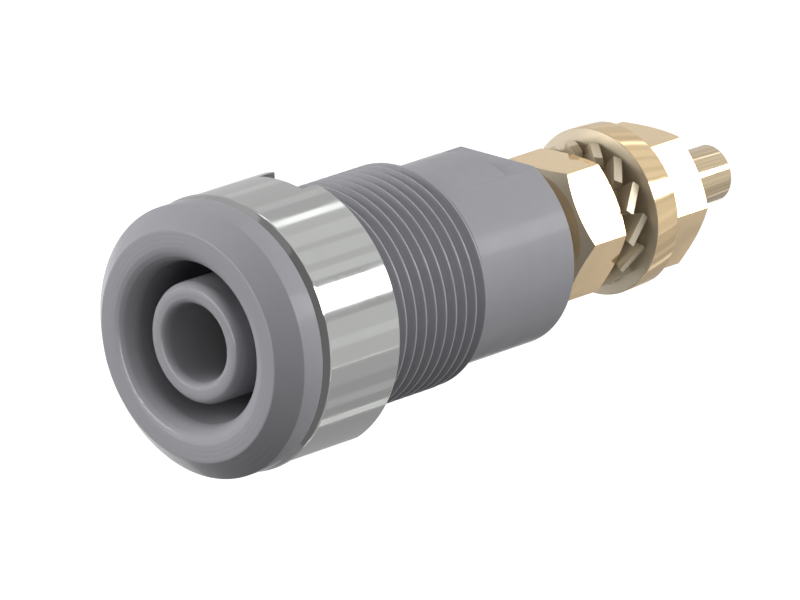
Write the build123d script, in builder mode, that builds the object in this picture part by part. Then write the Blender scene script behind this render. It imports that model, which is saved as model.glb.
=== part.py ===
from build123d import *
import os
from math import cos, pi, radians, sin, sqrt, tan

# Panel socket for a 4 mm safety plug: a moulded housing that goes through a round panel hole from the
# front, a slotted ring nut that clamps it there, and a turned contact whose threaded stud takes a cable
# lug between a nut, a toothed washer, a flat washer and a second nut.
# The socket's axis is Y. The plug comes in from -Y, the cable is behind at +Y, and +Z is up.
# The origin is on the axis, in the seat of the flange on the panel.

# Panel thread, M12 x 0.75, and the plain barrel behind it
thread_radius = 6.0
thread_length = 13.8
thread_ring_spacing = 1.1
thread_ring_depth = 0.4
thread_run_out = 1.4
thread_chamfer = 0.4
barrel_step = 0.6
barrel_length = 7.0
flats_across = 9.25
flats_length = 2.2

# Slotted ring nut
ring_nut_wall = 1.2
ring_nut_length = 5.5
ring_nut_gap = 0.1
ring_nut_front_chamfer = 0.3
ring_nut_rear_chamfer = 0.12
ring_nut_slot_width = 3.0
ring_nut_slot_depth = 1.2

# Flange: a little smaller than the ring nut, with a wide bevel round its flat face
flange_step = 0.1
flange_length = 2.45
cone_width = 1.1
cone_length = 1.35

# Ring-shaped recess for the plug's shroud
recess_radius = 4.25
recess_depth = 19.0
recess_lip_round = 1.05
recess_lip_flats = 3

# Insulating sleeve in the middle of the recess, one moulding with the flange
sleeve_radius = 3.2
sleeve_set_back = 0.5
sleeve_mouth_radius = 2.05
sleeve_mouth_length = 4.6
sleeve_mouth_lead_in = 0.4
sleeve_rim_round = 0.5
sleeve_rim_flats = 2

# Turned contact
contact_bore_radius = 2.03
contact_bore_length = 17.2
contact_tube_wall = 0.57
contact_front_gap = 0.1
collar_radius = 3.1
collar_seat_web = 1.25
shank_radius = 2.45
shank_length = 2.75
stud_radius = 2.0
stud_past_nut = 0.6
tip_radius = 1.55
tip_length = 3.4
tip_chamfer = 0.2
drill_point_angle = 118.0

# M4 hexagon nuts
nut_across_flats = 7.0
nut_height = 3.2
nut_face_radius = 3.33
nut_chamfer_angle = 30.0

# Toothed lock washer
washer_ring_width = 0.7
tooth_count = 14
tooth_thickness = 0.5
tooth_length = 0.98
tooth_root_gap = 0.13
tooth_tip_gap = 0.06
tooth_root_thinning = 0.01
tooth_twist = 40.0

# Flat washer
washer_radius = 4.5
washer_thickness = 1.7
washer_edge = 0.15

# Clearances
housing_clearance = 0.03
thread_clearance = 0.05
washer_clearance = 0.15
tooth_play = 0.02

# Radii worked out from the sizes above
barrel_radius = thread_radius - barrel_step
ring_nut_bore = thread_radius + thread_clearance
ring_nut_radius = ring_nut_bore + ring_nut_wall
flange_radius = ring_nut_radius - flange_step
contact_tube_radius = contact_bore_radius + contact_tube_wall
washer_bore_radius = stud_radius + washer_clearance
tooth_root_radius = washer_bore_radius + washer_ring_width
tooth_tip_radius = tooth_root_radius + tooth_length

# Stations along the axis, from front to back
face_y = -flange_length
sleeve_rim_y = face_y + sleeve_set_back
sleeve_mouth_end_y = sleeve_rim_y + sleeve_mouth_length
contact_front_y = sleeve_mouth_end_y + contact_front_gap
contact_bore_end_y = contact_front_y + contact_bore_length
ring_nut_rear_y = ring_nut_gap + ring_nut_length
thread_end_y = thread_length
recess_floor_y = face_y + recess_depth
collar_seat_y = recess_floor_y + collar_seat_web
housing_end_y = thread_end_y + barrel_length
shank_end_y = housing_end_y + shank_length
thread_crest_end_y = thread_end_y - thread_chamfer


def across_axis(y):
    """The plane square to the axis at this station, with X to the right and its normal along +Y."""
    return Plane(origin=(0, y, 0), x_dir=(1, 0, 0), z_dir=(0, 1, 0))


def spin(*corners):
    """Spins a closed outline about the axis. Each corner is (radius, y)."""
    with BuildSketch(Plane.XY) as outline:
        with BuildLine():
            Polyline(*corners, close=True)
        make_face()
    revolve(outline.sketch, axis=Axis.Y)


def quarter_turn(flats):
    """The angles that share a quarter turn out evenly."""
    return [pi / 2 * step / flats for step in range(flats + 1)]


# The two round edges at the front, each in a few flats, drawn from the inside outward
sleeve_rim = [
    (sleeve_radius - sleeve_rim_round * (1 - sin(turn)), sleeve_rim_y + sleeve_rim_round * (1 - cos(turn)))
    for turn in quarter_turn(sleeve_rim_flats)
]
recess_lip = [
    (recess_radius + recess_lip_round * (1 - cos(turn)), face_y + recess_lip_round * (1 - sin(turn)))
    for turn in quarter_turn(recess_lip_flats)
]

# The panel thread's relief, as plain rings that stand a little further apart than its turns of 0.75 mm
ring_count = int((thread_crest_end_y - thread_run_out) / thread_ring_spacing)
first_crest_y = thread_crest_end_y - ring_count * thread_ring_spacing
thread_relief = []
for ring in range(ring_count):
    crest_y = first_crest_y + ring * thread_ring_spacing
    thread_relief.append((thread_radius, crest_y))
    thread_relief.append((thread_radius - thread_ring_depth, crest_y + thread_ring_spacing / 2))

# Housing: flange, shroud recess, sleeve, threaded neck and barrel are one moulding
with BuildPart() as housing:
    spin(
        (sleeve_mouth_radius, sleeve_rim_y + sleeve_mouth_lead_in),
        (sleeve_mouth_radius + sleeve_mouth_lead_in, sleeve_rim_y),
        *sleeve_rim,
        (sleeve_radius, recess_floor_y),
        (recess_radius, recess_floor_y),
        *recess_lip,
        (flange_radius - cone_width, face_y),
        (flange_radius, face_y + cone_length),
        (flange_radius, 0),
        (thread_radius, 0),
        *thread_relief,
        (thread_radius, thread_crest_end_y),
        (thread_radius - thread_chamfer, thread_end_y),
        (barrel_radius, thread_end_y),
        (barrel_radius, housing_end_y),
        (collar_radius + housing_clearance, housing_end_y),
        (collar_radius + housing_clearance, collar_seat_y),
        (contact_tube_radius + housing_clearance, collar_seat_y),
        (contact_tube_radius + housing_clearance, sleeve_mouth_end_y),
        (sleeve_mouth_radius, sleeve_mouth_end_y),
    )
    # two spanner flats at the rear end, above and below
    with BuildSketch(across_axis(housing_end_y - flats_length)):
        with Locations((0, flats_across / 2 + barrel_radius / 2), (0, -flats_across / 2 - barrel_radius / 2)):
            Rectangle(2 * barrel_radius, barrel_radius)
    extrude(amount=flats_length, mode=Mode.SUBTRACT)
housing.part.label = "housing"

# Ring nut on the panel thread, with two driver slots across its rear face
with BuildPart() as ring_nut:
    spin(
        (ring_nut_bore, ring_nut_gap),
        (ring_nut_radius - ring_nut_front_chamfer, ring_nut_gap),
        (ring_nut_radius, ring_nut_gap + ring_nut_front_chamfer),
        (ring_nut_radius, ring_nut_rear_y - ring_nut_rear_chamfer),
        (ring_nut_radius - ring_nut_rear_chamfer, ring_nut_rear_y),
        (ring_nut_bore, ring_nut_rear_y),
    )
    with BuildSketch(across_axis(ring_nut_rear_y - ring_nut_slot_depth)):
        Rectangle(ring_nut_slot_width, 2 * ring_nut_radius)
    extrude(amount=ring_nut_slot_depth, mode=Mode.SUBTRACT)
ring_nut.part.label = "ring_nut"


def hexagon_nut(front_y, label):
    """An M4 nut chamfered on both faces, with corners to the left and right."""
    corner_radius = nut_across_flats / sqrt(3)
    chamfer_length = (corner_radius - nut_face_radius) * tan(radians(nut_chamfer_angle))
    rear_y = front_y + nut_height
    bore = stud_radius + thread_clearance
    with BuildPart() as nut:
        spin(
            (bore, front_y),
            (nut_face_radius, front_y),
            (corner_radius, front_y + chamfer_length),
            (corner_radius, rear_y - chamfer_length),
            (nut_face_radius, rear_y),
            (bore, rear_y),
        )
        with BuildSketch(across_axis(front_y)):
            RegularPolygon(nut_across_flats / 2, 6, major_radius=False)
        extrude(amount=nut_height, mode=Mode.INTERSECT)
    nut.part.label = label
    return nut


# The inner nut is tight against the contact's shank
inner_nut = hexagon_nut(shank_end_y, "inner_nut")
inner_nut_rear_y = shank_end_y + nut_height

# Lock washer: a flat ring with blades round it, each twisted about its own radius
twist = radians(tooth_twist)
blade_root_radius = (washer_bore_radius + tooth_root_radius) / 2
blade_root_width = 2 * pi * blade_root_radius / tooth_count - tooth_root_gap
blade_tip_spread = 2 * pi * tooth_tip_radius / tooth_count - tooth_tip_gap
blade_tip_width = (blade_tip_spread - tooth_thickness * sin(twist)) / cos(twist)
tooth_height = blade_tip_width * sin(twist) + tooth_thickness * cos(twist)
lock_washer_y = inner_nut_rear_y + tooth_play + tooth_height / 2
with BuildPart() as lock_washer:
    with BuildSketch(across_axis(lock_washer_y - tooth_thickness / 2)):
        Circle(tooth_root_radius)
        Circle(washer_bore_radius, mode=Mode.SUBTRACT)
    extrude(amount=tooth_thickness)
    for blade in range(tooth_count):
        angle = 2 * pi * (blade + 0.5) / tooth_count
        outward = Vector(sin(angle), 0, cos(angle))
        blade_middle = Plane(origin=(0, lock_washer_y, 0), x_dir=(0, 1, 0), z_dir=outward)
        with BuildSketch(blade_middle.offset(blade_root_radius)):
            Rectangle(tooth_thickness - 2 * tooth_root_thinning, blade_root_width)
        with BuildSketch(blade_middle.offset(tooth_tip_radius)):
            Rectangle(tooth_thickness, blade_tip_width, rotation=-tooth_twist)
        loft()
lock_washer.part.label = "lock_washer"

# Flat washer under the outer nut
flat_washer_y = lock_washer_y + tooth_height / 2 + tooth_play
flat_washer_rear_y = flat_washer_y + washer_thickness
with BuildPart() as flat_washer:
    spin(
        (washer_bore_radius, flat_washer_y),
        (washer_radius, flat_washer_y),
        (washer_radius, flat_washer_rear_y - washer_edge),
        (washer_radius - washer_edge, flat_washer_rear_y),
        (washer_bore_radius, flat_washer_rear_y),
    )
flat_washer.part.label = "flat_washer"

outer_nut = hexagon_nut(flat_washer_rear_y, "outer_nut")

# Contact: plug bore, collar in the housing, shank behind it and threaded stud turned from one bar
stud_thread_end_y = flat_washer_rear_y + nut_height + stud_past_nut
tip_start_y = stud_thread_end_y + stud_radius - tip_radius
stud_end_y = tip_start_y + tip_length
drill_point_length = contact_bore_radius / tan(radians(drill_point_angle / 2))
with BuildPart() as contact:
    spin(
        (contact_bore_radius, contact_front_y),
        (contact_tube_radius, contact_front_y),
        (contact_tube_radius, collar_seat_y),
        (collar_radius, collar_seat_y),
        (collar_radius, housing_end_y),
        (shank_radius, housing_end_y),
        (shank_radius, shank_end_y),
        (stud_radius, shank_end_y),
        (stud_radius, stud_thread_end_y),
        (tip_radius, tip_start_y),
        (tip_radius, stud_end_y - tip_chamfer),
        (tip_radius - tip_chamfer, stud_end_y),
        (0, stud_end_y),
        (0, contact_bore_end_y + drill_point_length),
        (contact_bore_radius, contact_bore_end_y),
    )
contact.part.label = "contact"

os.makedirs("parts", exist_ok=True)
for piece in (housing, ring_nut, contact, inner_nut, lock_washer, flat_washer, outer_nut):
    export_step(piece.part, f"parts/{piece.part.label}.step")
    box = piece.part.bounding_box()
    print(f"{piece.part.label}: from y {box.min.Y:.2f} to {box.max.Y:.2f}, {box.size.X:.2f} mm across")
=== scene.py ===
import bpy
import bmesh
from math import cos, hypot, pi, radians, sin, sqrt, tan
from mathutils import Matrix, Quaternion, Vector


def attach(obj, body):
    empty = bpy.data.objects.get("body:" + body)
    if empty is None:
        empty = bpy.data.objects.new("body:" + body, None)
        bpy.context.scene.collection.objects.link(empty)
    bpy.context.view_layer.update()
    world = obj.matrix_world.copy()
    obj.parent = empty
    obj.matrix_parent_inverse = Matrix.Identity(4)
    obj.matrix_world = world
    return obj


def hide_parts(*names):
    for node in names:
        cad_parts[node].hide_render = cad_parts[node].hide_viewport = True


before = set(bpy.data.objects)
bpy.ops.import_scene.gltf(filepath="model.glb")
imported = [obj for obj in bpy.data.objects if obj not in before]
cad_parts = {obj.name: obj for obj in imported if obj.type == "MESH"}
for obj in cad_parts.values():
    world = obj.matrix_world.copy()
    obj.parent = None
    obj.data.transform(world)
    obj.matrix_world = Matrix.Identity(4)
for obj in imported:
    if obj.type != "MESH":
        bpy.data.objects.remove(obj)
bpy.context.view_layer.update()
print("frame loaded:", len(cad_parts), "nodes")

# All sizes in the dictionaries are in mm, the scene is in metres
# The socket's axis is Y, the plug side is -Y, and y = 0 is the flange's seat on the panel
mm = 0.001
ringSides = 192       # facets round each turned piece
weld = 0.0005         # points nearer to each other than this become one
fineWeld = 0.0002     # the same for a finished piece
over = 1              # how far a cutting block stands out of what it cuts


# Small helpers for working in edit mode

def onlyThis(piece):
    bpy.ops.object.select_all(action="DESELECT")
    piece.select_set(True)
    bpy.context.view_layer.objects.active = piece


def openPiece(piece):
    onlyThis(piece)
    bpy.ops.object.mode_set(mode="EDIT")


def closePiece():
    bpy.ops.object.mode_set(mode="OBJECT")


def namePiece(name):
    piece = bpy.context.object
    piece.name = name
    piece.data.name = name
    return piece


def selectRing(piece, radius, y, reach=0.004):     # the edges that lie on one circle round the axis
    bpy.ops.mesh.select_mode(type="EDGE")
    bpy.ops.mesh.select_all(action="DESELECT")
    mesh = bmesh.from_edit_mesh(piece.data)
    for edge in mesh.edges:
        edge.select = all(
            abs(v.co.y - y * mm) < reach * mm and abs(hypot(v.co.x, v.co.z) - radius * mm) < reach * mm
            for v in edge.verts)
    bmesh.update_edit_mesh(piece.data)


def cutWith(piece, tool, operation):     # DIFFERENCE, UNION or INTERSECT, and the tool is used up
    onlyThis(piece)
    cut = piece.modifiers.new("cut", "BOOLEAN")
    cut.operation = operation
    cut.solver = "EXACT"
    cut.object = tool
    bpy.ops.object.modifier_apply(modifier=cut.name)
    bpy.data.objects.remove(tool)


def turnAside(piece, degrees):     # so that its facet edges don't lie in the other piece's
    piece.data.transform(Matrix.Rotation(radians(degrees), 4, "Y"))


def block(name, low, high):     # a cutting block between two corners
    bpy.ops.mesh.primitive_cube_add(size=1)
    tool = namePiece(name)
    tool.scale = [(b - a) * mm for a, b in zip(low, high)]
    tool.location = [(a + b) / 2 * mm for a, b in zip(low, high)]
    bpy.ops.object.transform_apply(location=True, rotation=True, scale=True)
    return tool


# A turned piece: one circle, pulled and resized from station to station, as on a lathe
# profile is (radius, y), and a radius of 0 closes a pole. rounds is (radius, y, rounding, steps)
def turned(name, profile, rounds=()):
    bpy.ops.object.select_all(action="DESELECT")
    radius, y = profile[0]
    bpy.ops.mesh.primitive_circle_add(
        vertices=ringSides, radius=radius * mm, location=(0, y * mm, 0), rotation=(radians(-90), 0, 0))
    piece = namePiece(name)
    bpy.ops.object.transform_apply(location=True, rotation=True, scale=True)
    bpy.ops.object.mode_set(mode="EDIT")
    bpy.ops.mesh.select_all(action="SELECT")
    openEnded = profile[-1][0] == 0
    for nextRadius, nextY in profile[1:] + ([] if openEnded else profile[:1]):
        bpy.ops.mesh.extrude_region_move(TRANSFORM_OT_translate={"value": (0, (nextY - y) * mm, 0)})
        grow = nextRadius / radius
        bpy.ops.transform.resize(value=(grow, 1, grow), center_override=(0, nextY * mm, 0))
        radius, y = nextRadius, nextY
    if openEnded:     # the first circle is closed with a pole too
        firstRadius, firstY = profile[0]
        selectRing(piece, firstRadius, firstY)
        bpy.ops.mesh.extrude_region_move(TRANSFORM_OT_translate={"value": (0, 0, 0)})
        bpy.ops.transform.resize(value=(0, 1, 0), center_override=(0, firstY * mm, 0))
    bpy.ops.mesh.select_all(action="SELECT")
    bpy.ops.mesh.remove_doubles(threshold=weld * mm)
    bpy.ops.mesh.normals_make_consistent(inside=False)
    for ringRadius, ringY, rounding, steps in rounds:
        selectRing(piece, ringRadius, ringY)
        bpy.ops.mesh.bevel(offset=rounding * mm, segments=steps, profile=0.5, affect="EDGES")
    closePiece()
    return piece


# A thread is swept longer than it is, and a tube then cuts it to length
flankShare = 0.36        # of the pitch, for each flank
turnsBefore = 2.07       # no corner of the sweep lies just on a trimming plane
spareTurns = 4
trimReach = 0.0001
early = 0.5              # how far before its start a thread is trimmed
bury = 0.2               # how far the tube goes into the piece
clear = 0.1              # how far the tube stands off the crests


# A screw thread: the flanks of one side, drawn up the axis and swept once round, then trimmed and filled
def threadBody(name, crestRadius, rootRadius, pitch, startY, endY):
    flank = pitch * flankShare
    flat = pitch / 2 - flank
    bpy.ops.object.select_all(action="DESELECT")
    firstY = startY - turnsBefore * pitch
    bpy.ops.mesh.primitive_plane_add(size=1 * mm, location=(0, 0, 0))
    piece = namePiece(name)
    bpy.ops.object.mode_set(mode="EDIT")
    bpy.ops.mesh.select_mode(type="VERT")
    bpy.ops.mesh.select_all(action="SELECT")
    bpy.ops.mesh.merge(type="CENTER")
    bpy.ops.mesh.select_all(action="SELECT")
    bpy.ops.transform.translate(value=(rootRadius * mm, firstY * mm, 0))
    turns = int((endY - startY) / pitch) + spareTurns
    rise = (crestRadius - rootRadius) * mm
    for turn in range(turns):
        for stepOut, stepAlong in ((0, flat), (rise, flank), (0, flat), (-rise, flank)):
            bpy.ops.mesh.extrude_vertices_move(
                TRANSFORM_OT_translate={"value": (stepOut, stepAlong * mm, 0)})
    closePiece()
    sweep = piece.modifiers.new("sweep", "SCREW")
    sweep.axis = "Y"
    sweep.angle = radians(360)
    sweep.screw_offset = pitch * mm
    sweep.steps = ringSides
    sweep.render_steps = ringSides
    sweep.use_merge_vertices = False
    bpy.ops.object.modifier_apply(modifier=sweep.name)
    openPiece(piece)
    bpy.ops.mesh.select_all(action="SELECT")
    bpy.ops.mesh.remove_doubles(threshold=weld * mm)
    bpy.ops.mesh.normals_make_consistent(inside=False)
    for trimY, upward in ((startY, -1), (endY, 1)):
        bpy.ops.mesh.select_all(action="SELECT")
        bpy.ops.mesh.bisect(
            plane_co=(0, trimY * mm, 0), plane_no=(0, upward, 0), use_fill=True, clear_outer=True,
            threshold=trimReach * mm)
    bpy.ops.mesh.select_all(action="SELECT")
    bpy.ops.mesh.normals_make_consistent(inside=False)
    closePiece()
    return piece


def hexNut(name, size, frontY):     # a double cone cut to six flats, corners left and right
    corner = size["acrossFlats"] / sqrt(3)
    slope = tan(radians(size["coneAngle"]))
    coneLength = (corner - size["faceRadius"]) * slope
    past = 0.05     # the cones run on past the corners, and the flats cut that off
    rearY = frontY + size["height"]
    sink = size["countersink"]
    piece = turned(name, [
        (size["bore"] + sink, frontY),
        (size["faceRadius"], frontY),
        (corner + past, frontY + coneLength + past * slope),
        (corner + past, rearY - coneLength - past * slope),
        (size["faceRadius"], rearY),
        (size["bore"] + sink, rearY),
        (size["bore"], rearY - sink),
        (size["bore"], frontY + sink),
    ])
    bpy.ops.mesh.primitive_cylinder_add(
        vertices=6, radius=corner * mm, depth=(size["height"] + over) * mm,
        location=(0, (frontY + rearY) / 2 * mm, 0), rotation=(radians(90), 0, 0))
    flats = namePiece(name + "Flats")
    bpy.ops.object.transform_apply(location=True, rotation=True, scale=True)
    openPiece(flats)
    bpy.ops.mesh.select_all(action="SELECT")
    bpy.ops.transform.rotate(value=radians(30), orient_axis="Y", center_override=(0, 0, 0))
    bpy.ops.mesh.select_mode(type="EDGE")
    bpy.ops.mesh.select_all(action="DESELECT")
    mesh = bmesh.from_edit_mesh(flats.data)
    for edge in mesh.edges:     # the six long edges
        a, b = edge.verts
        edge.select = abs(a.co.y - b.co.y) > size["height"] * mm / 2
    bmesh.update_edit_mesh(flats.data)
    bpy.ops.mesh.bevel(offset=size["cornerRound"] * mm, segments=4, profile=0.5, affect="EDGES")
    closePiece()
    cutWith(piece, flats, "INTERSECT")
    return piece


# Materials, all on Object coordinates
noiseLow = 0.3      # nearly all of the noise lies between these two
noiseHigh = 0.7


def newMaterial(name):
    material = bpy.data.materials.new(name)
    material.use_nodes = True
    return material, material.node_tree.nodes, material.node_tree.links


def objectNoise(nodes, links, scale, stretch=(1, 1, 1), detail=4):
    where = nodes.new("ShaderNodeTexCoord")
    mapping = nodes.new("ShaderNodeMapping")
    mapping.inputs["Scale"].default_value = stretch
    noise = nodes.new("ShaderNodeTexNoise")
    noise.inputs["Scale"].default_value = scale
    noise.inputs["Detail"].default_value = detail
    links.new(where.outputs["Object"], mapping.inputs["Vector"])
    links.new(mapping.outputs["Vector"], noise.inputs["Vector"])
    return noise.outputs["Fac"]


def toRange(nodes, links, source, low, high):
    spread = nodes.new("ShaderNodeMapRange")
    spread.inputs["From Min"].default_value = noiseLow
    spread.inputs["From Max"].default_value = noiseHigh
    spread.inputs["To Min"].default_value = low
    spread.inputs["To Max"].default_value = high
    links.new(source, spread.inputs["Value"])
    return spread.outputs["Result"]


def tint(nodes, links, source, first, second):
    mix = nodes.new("ShaderNodeMix")
    mix.data_type = "RGBA"
    mix.inputs[6].default_value = (*first, 1)
    mix.inputs[7].default_value = (*second, 1)
    links.new(source, mix.inputs[0])
    return mix.outputs[2]


def bumpFrom(nodes, links, source, strength, distance, under=None):     # added to the relief under it
    bump = nodes.new("ShaderNodeBump")
    bump.inputs["Strength"].default_value = strength
    bump.inputs["Distance"].default_value = distance * mm
    links.new(source, bump.inputs["Height"])
    if under is not None:
        links.new(under, bump.inputs["Normal"])
    return bump.outputs["Normal"]


plasticLook = {
    "light": (0.285, 0.285, 0.305),
    "dark": (0.262, 0.262, 0.282),
    "mottleScale": 900,       # cloudy change of shade in the moulding
    "grainScale": 9000,       # spark-eroded mould grain
    "roughness": (0.34, 0.44),
    "specular": 0.16,
    "grainStrength": 0.35,
    "grainDepth": 0.004,
    "coat": 0.14,             # the skin of the moulding, glossier than what is under it
    "coatRoughness": 0.08,
    "ringScale": 1250,        # faint cutter rings on the flat faces, a quarter of a millimetre apart
    "ringStrength": 0.5,
    "ringDepth": 0.008,
}


def greyPlastic(look):
    material, nodes, links = newMaterial("greyPlastic")
    shader = nodes["Principled BSDF"]
    mottle = objectNoise(nodes, links, look["mottleScale"])
    grain = objectNoise(nodes, links, look["grainScale"], detail=3)
    links.new(tint(nodes, links, mottle, look["light"], look["dark"]), shader.inputs["Base Color"])
    links.new(toRange(nodes, links, mottle, *look["roughness"]), shader.inputs["Roughness"])
    grainNormal = bumpFrom(nodes, links, grain, look["grainStrength"], look["grainDepth"])
    where = nodes.new("ShaderNodeTexCoord")
    rings = nodes.new("ShaderNodeTexWave")
    rings.wave_type = "RINGS"
    rings.rings_direction = "Y"
    rings.inputs["Scale"].default_value = look["ringScale"]
    links.new(where.outputs["Object"], rings.inputs["Vector"])
    ringNormal = bumpFrom(
        nodes, links, rings.outputs["Fac"], look["ringStrength"], look["ringDepth"], under=grainNormal)
    links.new(ringNormal, shader.inputs["Normal"])
    shader.inputs["Specular IOR Level"].default_value = look["specular"]
    shader.inputs["Coat Weight"].default_value = look["coat"]
    shader.inputs["Coat Roughness"].default_value = look["coatRoughness"]
    return material


nickelLook = {
    "light": (0.60, 0.61, 0.595),
    "dark": (0.55, 0.56, 0.55),
    "roughness": (0.06, 0.12),
    "lineScale": 9000,        # tool lines run round the axis, so they are close along Y
    "lineDepth": 0.0012,
    "metallic": 1.0,
}
goldLook = {
    "light": (0.93, 0.71, 0.43),
    "dark": (0.88, 0.66, 0.39),
    "roughness": (0.08, 0.16),
    "lineScale": 8000,
    "lineDepth": 0.0014,
    "metallic": 1.0,
}
contactLook = {     # the contact's plating is darker and less yellow than that of the nuts
    "light": (0.77, 0.62, 0.42),
    "dark": (0.71, 0.57, 0.38),
    "roughness": (0.08, 0.16),
    "lineScale": 8000,
    "lineDepth": 0.0014,
    "metallic": 1.0,
}
stampedLook = {     # stamped and tumbled, so it is duller and paler than the turned pieces
    "light": (0.70, 0.62, 0.48),
    "dark": (0.62, 0.54, 0.41),
    "roughness": (0.38, 0.50),
    "lineScale": 5000,
    "lineDepth": 0.004,
    "metallic": 0.8,
}


cloudScale = 400                  # slow change of shade in every plating
lineStretch = (0.02, 1, 0.02)     # the tool lines' noise is drawn out across the axis
lineStrength = 0.3


def platedBrass(name, look):
    material, nodes, links = newMaterial(name)
    shader = nodes["Principled BSDF"]
    shader.inputs["Metallic"].default_value = look["metallic"]
    cloud = objectNoise(nodes, links, cloudScale)
    lines = objectNoise(nodes, links, look["lineScale"], stretch=lineStretch, detail=2)
    links.new(tint(nodes, links, cloud, look["light"], look["dark"]), shader.inputs["Base Color"])
    links.new(toRange(nodes, links, cloud, *look["roughness"]), shader.inputs["Roughness"])
    links.new(bumpFrom(nodes, links, lines, lineStrength, look["lineDepth"]), shader.inputs["Normal"])
    return material


plastic = greyPlastic(plasticLook)
nickel = platedBrass("nickelPlate", nickelLook)
gold = platedBrass("goldPlate", goldLook)
contactGold = platedBrass("contactGoldPlate", contactLook)
stampedGold = platedBrass("stampedGoldPlate", stampedLook)
print("materials ready")


smoothAngle = 30     # degrees between two faces, up to which the edge is shaded smooth
endFace = 0.8        # the part of a face's normal along Y, above which it is an end face or a cone


def finishPiece(piece, material, body, node, faceMaterial=None):
    openPiece(piece)
    bpy.ops.mesh.select_all(action="SELECT")
    bpy.ops.mesh.remove_doubles(threshold=fineWeld * mm)
    bpy.ops.mesh.normals_make_consistent(inside=False)
    closePiece()
    bpy.ops.object.shade_smooth_by_angle(angle=radians(smoothAngle))
    even = piece.modifiers.new("even", "WEIGHTED_NORMAL")
    even.keep_sharp = True
    bpy.ops.object.modifier_apply(modifier=even.name)
    piece.data.materials.clear()
    piece.data.materials.append(material)
    if faceMaterial:     # the end faces and the nuts' cones are duller than the turned rim and the flats
        piece.data.materials.append(faceMaterial)
        for polygon in piece.data.polygons:
            polygon.material_index = 1 if abs(polygon.normal.y) > endFace else 0
    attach(piece, body)
    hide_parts(node)
    print(piece.name, "done:", len(piece.data.polygons), "faces")


# Housing: flange, shroud recess, sleeve, threaded neck and barrel, one moulding
housingSize = {
    "face": -2.45, "faceRadius": 6.05, "flangeRadius": 7.15, "bevelEnd": -1.4, "seatRound": 0.12,
    "recessRadius": 4.25, "recessFloor": 16.55, "lipRound": 1.05,
    "sleeveRadius": 3.2, "sleeveRim": -1.95, "sleeveRound": 0.5,
    "mouthRadius": 2.05, "mouthEnd": 2.65, "mouthRound": 0.45,
    "barrelRadius": 5.4, "barrelEnd": 20.8,
    "collarBore": 3.13, "collarSeat": 17.8, "contactBore": 2.63,
    "crestRadius": 6.0, "rootRadius": 5.54, "pitch": 0.75, "threadEnd": 13.8, "threadChamfer": 0.4,
    "flatsAcross": 9.5, "flatsLength": 2.2, "softEdge": 0.05,
}


def makeHousing(size):
    s = size
    piece = turned("housingMoulding", [
        (s["mouthRadius"], s["mouthEnd"]),
        (s["mouthRadius"], s["sleeveRim"]),
        (s["sleeveRadius"], s["sleeveRim"]),
        (s["sleeveRadius"], s["recessFloor"]),
        (s["recessRadius"], s["recessFloor"]),
        (s["recessRadius"], s["face"]),
        (s["faceRadius"], s["face"]),
        (s["flangeRadius"], s["bevelEnd"]),
        (s["flangeRadius"], 0),
        (s["barrelRadius"], 0),
        (s["barrelRadius"], s["barrelEnd"]),
        (s["collarBore"], s["barrelEnd"]),
        (s["collarBore"], s["collarSeat"]),
        (s["contactBore"], s["collarSeat"]),
        (s["contactBore"], s["mouthEnd"]),
    ], [
        (s["mouthRadius"], s["sleeveRim"], s["mouthRound"], 8),
        (s["sleeveRadius"], s["sleeveRim"], s["sleeveRound"], 8),
        (s["recessRadius"], s["face"], s["lipRound"], 12),
        (s["faceRadius"], s["face"], s["softEdge"], 4),
        (s["flangeRadius"], s["bevelEnd"], s["softEdge"], 4),
        (s["flangeRadius"], 0, s["seatRound"], 5),
        (s["barrelRadius"], s["barrelEnd"], s["softEdge"], 4),
    ])
    thread = threadBody(
        "neckThread", s["crestRadius"], s["rootRadius"], s["pitch"], -early, s["threadEnd"] + over)
    inside = s["barrelRadius"] - bury
    chamferRadius = s["crestRadius"] - s["threadChamfer"]
    envelope = turned("threadEnvelope", [
        (inside, -bury),
        (s["crestRadius"] + clear, -bury),
        (s["crestRadius"] + clear, s["threadEnd"] - s["threadChamfer"] - clear),
        (chamferRadius, s["threadEnd"]),
        (inside, s["threadEnd"]),
    ])
    turnAside(envelope, degrees=0.7)
    cutWith(thread, envelope, "INTERSECT")
    turnAside(thread, degrees=0.37)
    cutWith(piece, thread, "UNION")
    half = s["flatsAcross"] / 2
    wide = 6      # half the width of the blocks that cut the flats, more than the barrel's radius
    thick = 2
    for side in (1, -1):     # spanner flats above and below
        low, high = sorted((side * half, side * (half + thick)))
        flat = block(
            "spannerFlat",
            (-wide, s["barrelEnd"] - s["flatsLength"], low),
            (wide, s["barrelEnd"] + over, high))
        cutWith(piece, flat, "DIFFERENCE")
    return piece


housing = makeHousing(housingSize)
finishPiece(housing, plastic, "socket_body", "housing")


# Ring nut: a turned tube with two driver slots across its rear
ringNutSize = {
    "bore": 6.05, "radius": 7.25, "front": 0.1, "rear": 5.6,
    "frontChamfer": 0.3, "rearChamfer": 0.12, "slotWidth": 3.0, "slotDepth": 1.2, "softEdge": 0.1,
}


def makeRingNut(size):
    s = size
    bore, radius, front, rear = s["bore"], s["radius"], s["front"], s["rear"]
    rearChamfer = s["rearChamfer"]
    piece = turned("ringNutTurned", [
        (bore + rearChamfer, front),
        (radius - s["frontChamfer"], front),
        (radius, front + s["frontChamfer"]),
        (radius, rear),
        (bore + rearChamfer, rear),
        (bore, rear - rearChamfer),
        (bore, front + rearChamfer),
    ], [
        (radius, front + s["frontChamfer"], s["softEdge"], 5),
        (radius, rear, rearChamfer, 5),
    ])
    slot = block(     # one block cuts both slots
        "driverSlot",
        (-s["slotWidth"] / 2, rear - s["slotDepth"], -radius - over),
        (s["slotWidth"] / 2, rear + over, radius + over))
    cutWith(piece, slot, "DIFFERENCE")
    return piece


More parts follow.
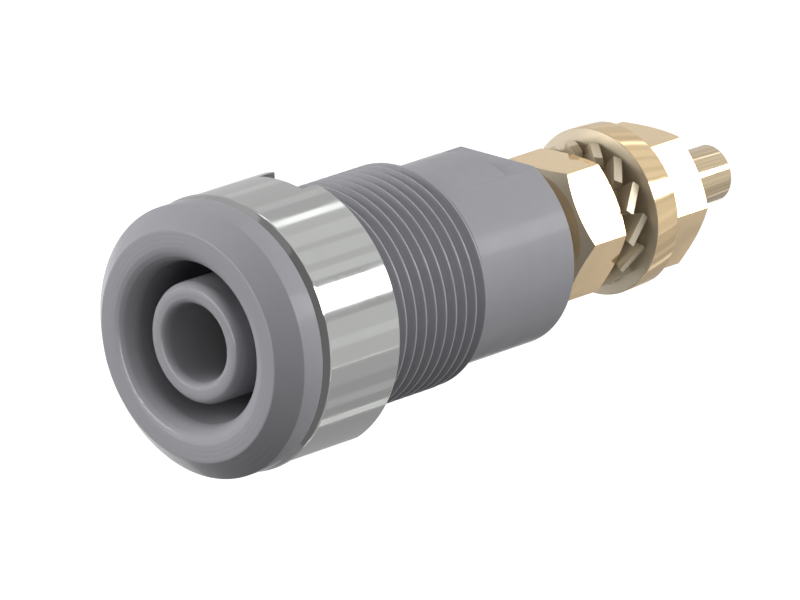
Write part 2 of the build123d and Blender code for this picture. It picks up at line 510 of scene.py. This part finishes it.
ringNut = makeRingNut(ringNutSize)
finishPiece(ringNut, nickel, "ring_nut", "ring_nut")


# The two M4 nuts
nutSize = {
    "acrossFlats": 7.0, "height": 3.2, "faceRadius": 3.33, "coneAngle": 30,
    "bore": 2.05, "countersink": 0.25, "cornerRound": 0.06,
    "innerFront": 23.55, "outerFront": 30.0,
}
innerNut = hexNut("innerNutTurned", nutSize, nutSize["innerFront"])
finishPiece(innerNut, gold, "socket_body", "inner_nut", stampedGold)
outerNut = hexNut("outerNutTurned", nutSize, nutSize["outerFront"])
finishPiece(outerNut, gold, "outer_nut", "outer_nut", stampedGold)


# Toothed lock washer: a flat ring and fourteen copies of one twisted tooth
lockWasherSize = {
    "bore": 2.15, "ringRadius": 2.85, "thickness": 0.5, "middle": 27.525,
    "teeth": 14, "rootRadius": 2.5, "tipRadius": 3.83, "rootWidth": 0.99, "tipWidth": 1.75,
    "twist": 40, "steps": 6,
    "thinner": 0.02,     # than the ring, so that no tooth's face lies in the ring's
}


def makeLockWasher(size):
    s = size
    half = s["thickness"] / 2
    piece = turned("lockWasherStamped", [
        (s["bore"], s["middle"] - half),
        (s["ringRadius"], s["middle"] - half),
        (s["ringRadius"], s["middle"] + half),
        (s["bore"], s["middle"] + half),
    ])
    bpy.ops.object.select_all(action="DESELECT")
    bpy.ops.mesh.primitive_plane_add(size=1 * mm, location=(0, s["middle"] * mm, s["rootRadius"] * mm))
    tooth = namePiece("tooth")
    tooth.scale = (s["rootWidth"], s["thickness"] - s["thinner"], 1)
    bpy.ops.object.transform_apply(location=True, rotation=True, scale=True)
    openPiece(tooth)
    bpy.ops.mesh.select_all(action="SELECT")
    rise = (s["tipRadius"] - s["rootRadius"]) / s["steps"]
    width = s["rootWidth"]
    z = s["rootRadius"]
    for step in range(s["steps"]):
        z += rise
        nextWidth = s["rootWidth"] + (s["tipWidth"] - s["rootWidth"]) * (step + 1) / s["steps"]
        bpy.ops.mesh.extrude_region_move(TRANSFORM_OT_translate={"value": (0, 0, rise * mm)})
        turnedSoFar = radians(s["twist"]) * step / s["steps"]
        centre = (0, s["middle"] * mm, z * mm)
        bpy.ops.transform.rotate(value=-turnedSoFar, orient_axis="Z", center_override=centre)
        bpy.ops.transform.resize(value=(nextWidth / width, 1, 1), center_override=centre)
        bpy.ops.transform.rotate(
            value=turnedSoFar + radians(s["twist"]) / s["steps"], orient_axis="Z", center_override=centre)
        width = nextWidth
    bpy.ops.mesh.select_all(action="SELECT")
    bpy.ops.mesh.normals_make_consistent(inside=False)
    closePiece()
    for number in range(s["teeth"]):     # half a step on, so a gap is at the top
        copy = tooth.copy()
        copy.data = tooth.data.copy()
        bpy.context.scene.collection.objects.link(copy)
        copy.data.transform(Matrix.Rotation(2 * pi * (number + 0.5) / s["teeth"], 4, "Y"))
        cutWith(piece, copy, "UNION")
    bpy.data.objects.remove(tooth)
    return piece


lockWasher = makeLockWasher(lockWasherSize)
finishPiece(lockWasher, stampedGold, "washers", "lock_washer")


# Flat washer
flatWasherSize = {
    "bore": 2.15, "radius": 4.5, "front": 28.3, "rear": 30.0, "frontRound": 0.08, "rearRound": 0.16,
}


def makeFlatWasher(size):
    s = size
    return turned("flatWasherTurned", [
        (s["bore"], s["front"]),
        (s["radius"], s["front"]),
        (s["radius"], s["rear"]),
        (s["bore"], s["rear"]),
    ], [
        (s["radius"], s["front"], s["frontRound"], 4),
        (s["radius"], s["rear"], s["rearRound"], 5),
    ])


flatWasher = makeFlatWasher(flatWasherSize)
finishPiece(flatWasher, gold, "washers", "flat_washer", stampedGold)


# Contact: plug bore, collar, threaded stud and plain tip, turned from one bar
contactSize = {
    "front": 2.75, "boreRadius": 2.03, "boreEnd": 19.95, "tubeRadius": 2.6, "edge": 0.15,
    "collarRadius": 3.1, "collarSeat": 17.8, "collarEnd": 20.8, "collarEdge": 0.1,
    "shankRadius": 2.45, "shankEnd": 23.55,
    "studRadius": 2.0, "studRoot": 1.57, "pitch": 0.7, "threadEnd": 33.8,
    "tipRadius": 1.55, "tipEnd": 37.65, "tipChamfer": 0.2, "drillDepth": 1.22,
}


def makeContact(size):
    s = size
    piece = turned("contactTurned", [
        (s["tipRadius"], s["tipEnd"]),
        (s["tipRadius"], s["shankEnd"]),
        (s["shankRadius"], s["shankEnd"]),
        (s["shankRadius"], s["collarEnd"]),
        (s["collarRadius"], s["collarEnd"]),
        (s["collarRadius"], s["collarSeat"]),
        (s["tubeRadius"], s["collarSeat"]),
        (s["tubeRadius"], s["front"]),
        (s["boreRadius"], s["front"]),
        (s["boreRadius"], s["boreEnd"]),
        (0, s["boreEnd"] + s["drillDepth"]),
    ], [
        (s["tipRadius"], s["tipEnd"], s["tipChamfer"], 4),
        (s["collarRadius"], s["collarEnd"], s["collarEdge"], 3),
        (s["tubeRadius"], s["front"], s["edge"], 3),
        (s["boreRadius"], s["front"], s["edge"], 3),
    ])
    thread = threadBody(
        "studThread", s["studRadius"], s["studRoot"], s["pitch"],
        s["shankEnd"] - early, s["threadEnd"] + over)
    run = s["studRadius"] - s["tipRadius"]
    core = 1.0         # the tube's bore, well inside the stud
    tipPast = 0.05     # the tube's cone ends just inside the plain tip
    envelope = turned("studEnvelope", [
        (core, s["shankEnd"] - bury),
        (s["studRadius"] + clear, s["shankEnd"] - bury),
        (s["studRadius"] + clear, s["threadEnd"] - clear),
        (s["tipRadius"] - tipPast, s["threadEnd"] + run + tipPast),
        (core, s["threadEnd"] + run + tipPast),
    ])
    cutWith(thread, envelope, "INTERSECT")
    cutWith(piece, thread, "UNION")
    return piece


contact = makeContact(contactSize)
finishPiece(contact, contactGold, "socket_body", "contact")


# Studio: a pale floor well below, three lamps, and cards that show only in the metal and the gloss
studio = {
    "cameraAt": (358.437, -374.058, 170.9), "cameraTo": (7.385, 5.381, 2.243), "lens": 485,
    "sensorWidth": 36, "clipStart": 10, "clipEnd": 20000,
    "floorZ": -400, "floorSize": 6000, "floorGrey": 0.2, "floorRoughness": 0.9,
    "worldLight": 0.46,
    "middleY": 14,     # the lamps aim there, and the cards in front meet those behind
    "cardDistance": 350, "cardReach": 1250,
    "sparkDirection": (-0.25, -0.93, 0.05), "sparkDistance": 320, "sparkWidth": 45, "sparkLength": 290,
    "sparkTurn": 51, "sparkGlow": 20,
}


def addLamp(name, direction, distance, width, length, strength):
    towards = Vector(direction).normalized()
    centre = Vector((0, studio["middleY"], 0)) * mm
    lamp = bpy.data.lights.new(name, "AREA")
    lamp.shape = "RECTANGLE"
    lamp.size = width * mm
    lamp.size_y = length * mm
    lamp.energy = strength
    holder = bpy.data.objects.new(name, lamp)
    bpy.context.scene.collection.objects.link(holder)
    holder.location = centre + towards * distance * mm
    holder.rotation_euler = towards.to_track_quat("Z", "Y").to_euler()
    return holder


# A lamp at the front left and one above, neither of which the metal mirrors
frontLamp = addLamp(
    "frontLamp", direction=(-0.72, -0.66, 0.24), distance=420, width=260, length=260, strength=1.8)
frontLamp.visible_glossy = False
topLamp = addLamp(
    "topLamp", direction=(0.35, 0.30, 0.90), distance=420, width=320, length=320, strength=0.4)
topLamp.visible_glossy = False

# A strip at the right, moved to the rear, so that what faces the camera stays darker
stripAngle = radians(27)
stripBack = 330
stripLamp = addLamp(
    "stripLamp", direction=(cos(stripAngle), 0, sin(stripAngle)), distance=300, width=800, length=105,
    strength=1.4)
stripLamp.location.y += stripBack * mm

# Cards round the axis, which only mirror in metal and gloss: from angle, to angle, brightness
studioCards = {
    "under": [(-132, -84, 0.42), (-83, -78, 0.9)],
    "lowRight": [(-77, -66, 0.44), (-66, -58, 0.58), (-58, -46, 0.47), (-46, -30, 0.55)],
    "right": [(-29, -14, 0.7), (-14, -6, 0.84), (-6, 9, 0.74), (9, 16, 0.55)],
    "highRight": [(37, 43, 0.6), (43, 51, 0.84), (51, 57, 0.7), (57, 69, 0.82), (69, 74, 0.7),
                  (74, 86, 0.84), (86, 96, 0.74)],
    "thin": [(97, 103, 1.7)],
    "topLeft": [(104, 117, 0.62), (117, 125, 0.76), (125, 150, 0.66), (150, 158, 0.76),
                (158, 186, 0.66)],
    "left": [(187, 202, 1.25), (203, 227, 1.4)],
}
frontCards = [
    (-132, -108, 0.4), (-108, -84, 0.3), (-84, -50, 0.2), (-50, -10, 0.2), (-10, 30, 0.2),
    (30, 70, 0.2), (70, 104, 0.3), (104, 145, 0.55), (145, 186, 0.6), (186, 228, 0.72),
]


def addCard(name, fromAngle, toAngle, brightness, startY, endY):
    distance = studio["cardDistance"]
    middle = radians((fromAngle + toAngle) / 2)
    width = 2 * distance * tan(radians(toAngle - fromAngle) / 2)
    centre = (distance * cos(middle) * mm, (startY + endY) / 2 * mm, distance * sin(middle) * mm)
    bpy.ops.object.select_all(action="DESELECT")
    bpy.ops.mesh.primitive_plane_add(size=1, location=centre, rotation=(0, pi / 2 - middle, 0))
    card = namePiece(name)
    card.scale = (width * mm, (endY - startY) * mm, 1)
    glowCard(card, brightness)


def glowCard(card, brightness):     # it shines only on what mirrors it
    material, nodes, links = newMaterial(card.name)
    glow = nodes.new("ShaderNodeEmission")
    glow.inputs["Strength"].default_value = brightness
    links.new(glow.outputs["Emission"], nodes["Material Output"].inputs["Surface"])
    card.data.materials.append(material)
    for kind in ("camera", "diffuse", "transmission", "volume_scatter", "shadow"):
        setattr(card, "visible_" + kind, False)


for side, bands in studioCards.items():
    for number, band in enumerate(bands):
        addCard(f"{side}Card{number + 1}", *band, studio["middleY"], studio["cardReach"])
for number, band in enumerate(frontCards):
    addCard(f"frontCard{number + 1}", *band, -studio["cardReach"], studio["middleY"])

# A bright strip in front, low right to high left, draws the light lines on the lip and the sleeve's rim
bpy.ops.object.select_all(action="DESELECT")
towards = Vector(studio["sparkDirection"]).normalized()
sparkTilt = towards.to_track_quat("Z", "Y") @ Quaternion((0, 0, 1), radians(studio["sparkTurn"]))
bpy.ops.mesh.primitive_plane_add(
    size=1, location=towards * studio["sparkDistance"] * mm, rotation=sparkTilt.to_euler())
spark = namePiece("sparkCard")
spark.scale = (studio["sparkWidth"] * mm, studio["sparkLength"] * mm, 1)
glowCard(spark, studio["sparkGlow"])

world = bpy.data.worlds.new("studioWorld")
bpy.context.scene.world = world
world.use_nodes = True
worldNodes, worldLinks = world.node_tree.nodes, world.node_tree.links


# 1 for the camera's rays and for those that metal, gloss or glass sends on, else 0
def seenDirectly(nodes, links):
    rays = nodes.new("ShaderNodeLightPath")
    mirrored = nodes.new("ShaderNodeMath")
    mirrored.operation = "MAXIMUM"
    links.new(rays.outputs["Is Glossy Ray"], mirrored.inputs[0])
    links.new(rays.outputs["Is Transmission Ray"], mirrored.inputs[1])
    either = nodes.new("ShaderNodeMath")
    either.operation = "MAXIMUM"
    links.new(rays.outputs["Is Camera Ray"], either.inputs[0])
    links.new(mirrored.outputs[0], either.inputs[1])
    return either.outputs[0]


spread = worldNodes.new("ShaderNodeMapRange")
spread.inputs["To Min"].default_value = studio["worldLight"]
spread.inputs["To Max"].default_value = 1.0
worldLinks.new(seenDirectly(worldNodes, worldLinks), spread.inputs["Value"])
worldLinks.new(spread.outputs["Result"], worldNodes["Background"].inputs["Strength"])
worldNodes["Background"].inputs["Color"].default_value = (1, 1, 1, 1)

bpy.ops.object.select_all(action="DESELECT")
bpy.ops.mesh.primitive_plane_add(size=studio["floorSize"] * mm, location=(0, 0, studio["floorZ"] * mm))
floor = namePiece("studioFloor")
floorMaterial, floorNodes, floorLinks = newMaterial("paleFloor")
floorShader = floorNodes["Principled BSDF"]
floorGrey = studio["floorGrey"]
floorShader.inputs["Base Color"].default_value = (floorGrey, floorGrey, floorGrey, 1)
floorShader.inputs["Roughness"].default_value = studio["floorRoughness"]
floorShader.inputs["Emission Color"].default_value = (1, 1, 1, 1)
floorShows = seenDirectly(floorNodes, floorLinks)
floorLinks.new(floorShows, floorShader.inputs["Emission Strength"])
floor.data.materials.append(floorMaterial)

cameraData = bpy.data.cameras.new("photoCamera")
cameraData.lens = studio["lens"]
cameraData.sensor_width = studio["sensorWidth"]
cameraData.clip_start = studio["clipStart"] * mm
cameraData.clip_end = studio["clipEnd"] * mm
camera = bpy.data.objects.new("photoCamera", cameraData)
bpy.context.scene.collection.objects.link(camera)
camera.location = Vector(studio["cameraAt"]) * mm
look = Vector(studio["cameraTo"]) * mm - camera.location
camera.rotation_euler = look.to_track_quat("-Z", "Y").to_euler()
bpy.context.scene.camera = camera
bpy.context.scene.view_settings.view_transform = "Standard"
print("studio ready")
